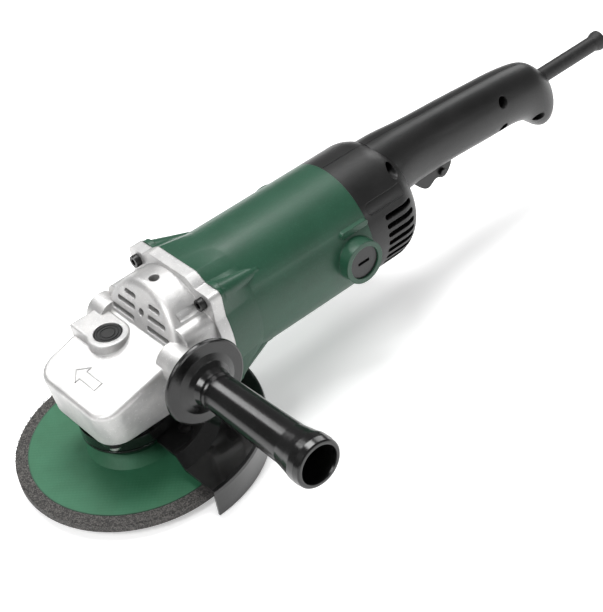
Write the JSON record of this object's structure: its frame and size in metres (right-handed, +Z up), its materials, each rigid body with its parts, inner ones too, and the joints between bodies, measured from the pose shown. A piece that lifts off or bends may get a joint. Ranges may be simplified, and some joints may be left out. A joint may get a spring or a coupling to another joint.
{
  "type": "angle grinder",
  "caption": "Angle grinder with turning wheel guard, grinding disc, side handle, bevel gear head, spindle lock button, green motor housing and black trigger handle.",
  "frame": {"origin": "centre of the free end of the spindle, below the disc", "axes": "+Z up along the spindle into the gear head, +X from the gear head along the motor to the cord end, side handle on the -Y side"},
  "size_m": [0.51, 0.2504, 0.1149],
  "materials": {
    "head_alloy": "sand-blasted casting",
    "box_alloy": "sand-blasted casting",
    "box_screw_steel": "zinc plated",
    "case_screw_steel": "blackened steel",
    "spindle_steel": "ground",
    "ring_steel": "spring steel",
    "gear_steel": "sintered",
    "flange_steel": "zinc plated",
    "abrasive": "bonded grit",
    "bushing_steel": "bright",
    "label_paper": "printed paper, unlettered",
    "nut_steel": "blackened",
    "bearing_steel_a": "polished",
    "bearing_steel_b": "polished",
    "ball_steel_a": "polished",
    "bush_bronze": "sintered",
    "retainer_steel": "zinc plated",
    "seal_felt": "felt",
    "guard_paint": "gloss black",
    "clamp_paint": "gloss black",
    "clamp_screw_steel": "zinc plated",
    "lock_pin_steel": "hardened",
    "button_rubber": "satin black",
    "lock_spring_steel": "spring steel",
    "side_handle_plastic": "gloss black",
    "stud_steel": "zinc plated",
    "shaft_steel": "ground",
    "pinion_steel": "hardened",
    "bearing_steel_c": "polished",
    "bearing_steel_d": "polished",
    "ball_steel_b": "polished",
    "bearing_steel_e": "polished",
    "bearing_steel_f": "polished",
    "ball_steel_c": "polished",
    "sleeve_rubber": "matt",
    "armature_iron": "stacked plates",
    "winding_copper_a": "varnished copper",
    "commutator_copper": "bare copper",
    "fan_plastic": "moulded",
    "housing_green": "satin, fine grain",
    "stator_iron": "stacked plates",
    "winding_copper_b": "varnished copper",
    "stator_screw_steel": "zinc plated",
    "baffle_plastic": "moulded",
    "holder_brass": "bright",
    "carbon": "graphite",
    "brush_spring_steel": "spring steel",
    "cap_plastic": "satin dark grey",
    "tail_plastic_left": "satin black",
    "tail_plastic_right": "satin black",
    "handle_screw_steel": "blackened",
    "switch_plastic": "moulded",
    "trigger_plastic": "satin black",
    "trigger_pin_steel": "bright",
    "trigger_spring_steel": "spring steel",
    "lock_on_plastic": "black",
    "relief_rubber": "matt black",
    "cord_clamp_plastic": "moulded",
    "wire_sleeve": "insulation"
  },
  "bodies": {
    "casing": {"gear_case": "head_alloy", "bearing_box": "box_alloy", "bearing_box_screws": "box_screw_steel", "gear_case_screws": "case_screw_steel", "spindle_bearing_outer": "bearing_steel_a", "spindle_bearing_balls": "ball_steel_a", "spindle_top_bush": "bush_bronze", "bearing_retainer": "retainer_steel", "spindle_seal": "seal_felt", "side_handle_grip": "side_handle_plastic", "side_handle_stud": "stud_steel", "front_bearing_outer": "bearing_steel_c", "front_bearing_balls": "ball_steel_b", "rear_bearing_outer": "bearing_steel_e", "rear_bearing_balls": "ball_steel_c", "rear_bearing_sleeve": "sleeve_rubber", "motor_housing": "housing_green", "stator_core": "stator_iron", "field_coils": "winding_copper_b", "stator_screws": "stator_screw_steel", "fan_baffle": "baffle_plastic", "brush_holders": "holder_brass", "carbon_brushes": "carbon", "brush_springs": "brush_spring_steel", "brush_caps": "cap_plastic", "handle_shell_left": "tail_plastic_left", "handle_shell_right": "tail_plastic_right", "handle_screws": "handle_screw_steel", "switch_body": "switch_plastic", "trigger_pin": "trigger_pin_steel", "strain_relief": "relief_rubber", "cord_clamp": "cord_clamp_plastic", "lead_wires": "wire_sleeve"},
    "spindle_body": {"spindle": "spindle_steel", "bevel_gear": "gear_steel", "gear_retaining_ring": "ring_steel", "spindle_bearing_inner": "bearing_steel_b", "inner_flange": "flange_steel", "grinding_disc": "abrasive", "disc_label": "label_paper", "disc_bushing": "bushing_steel", "lock_nut": "nut_steel"},
    "armature": {"armature_shaft": "shaft_steel", "pinion": "pinion_steel", "armature_core": "armature_iron", "armature_windings": "winding_copper_a", "commutator": "commutator_copper", "fan": "fan_plastic", "front_bearing_inner": "bearing_steel_d", "rear_bearing_inner": "bearing_steel_f"},
    "guard_body": {"guard": "guard_paint", "guard_clamp": "clamp_paint", "guard_clamp_screw": "clamp_screw_steel"},
    "lock_button_body": {"lock_pin": "lock_pin_steel", "lock_button": "button_rubber", "lock_spring": "lock_spring_steel"},
    "trigger_body": {"trigger": "trigger_plastic", "trigger_spring": "trigger_spring_steel"},
    "lock_on_body": {"lock_on_button": "lock_on_plastic"}
  },
  "joints": [
    {"name": "spindle_spin", "type": "hinge", "parent": "casing", "child": "spindle_body", "pos_m": [0, 0, 0], "axis": [0, 0, 1], "continuous": true},
    {"name": "motor_spin", "type": "hinge", "parent": "casing", "child": "armature", "pos_m": [0, 0, 0.071], "axis": [1, 0, 0], "continuous": true},
    {"name": "guard_turn", "type": "hinge", "parent": "casing", "child": "guard_body", "pos_m": [0, 0, 0], "axis": [0, 0, 1], "range_deg": [-90, 90]},
    {"name": "lock_button_press", "type": "slide", "parent": "casing", "child": "lock_button_body", "axis": [0, 0, 1], "range_m": [-0.005, 0], "stiffness_N_per_m": 400, "springref_m": 0.002, "deforming": ["lock_spring"]},
    {"name": "trigger_pull", "type": "hinge", "parent": "casing", "child": "trigger_body", "pos_m": [0.2755, 0, 0.073], "axis": [0, 1, 0], "range_deg": [0, 10], "stiffness_Nm_per_rad": 0.4, "springref_deg": -11.46, "deforming": ["trigger_spring"]},
    {"name": "lock_on_press", "type": "slide", "parent": "trigger_body", "child": "lock_on_body", "axis": [0, 1, 0], "range_m": [0, 0.0025], "stiffness_N_per_m": 200, "springref_m": -0.002}
  ],
  "couplings": [
    {"joint": "motor_spin", "follows": "spindle_spin", "ratio": 3.8182}
  ]
}
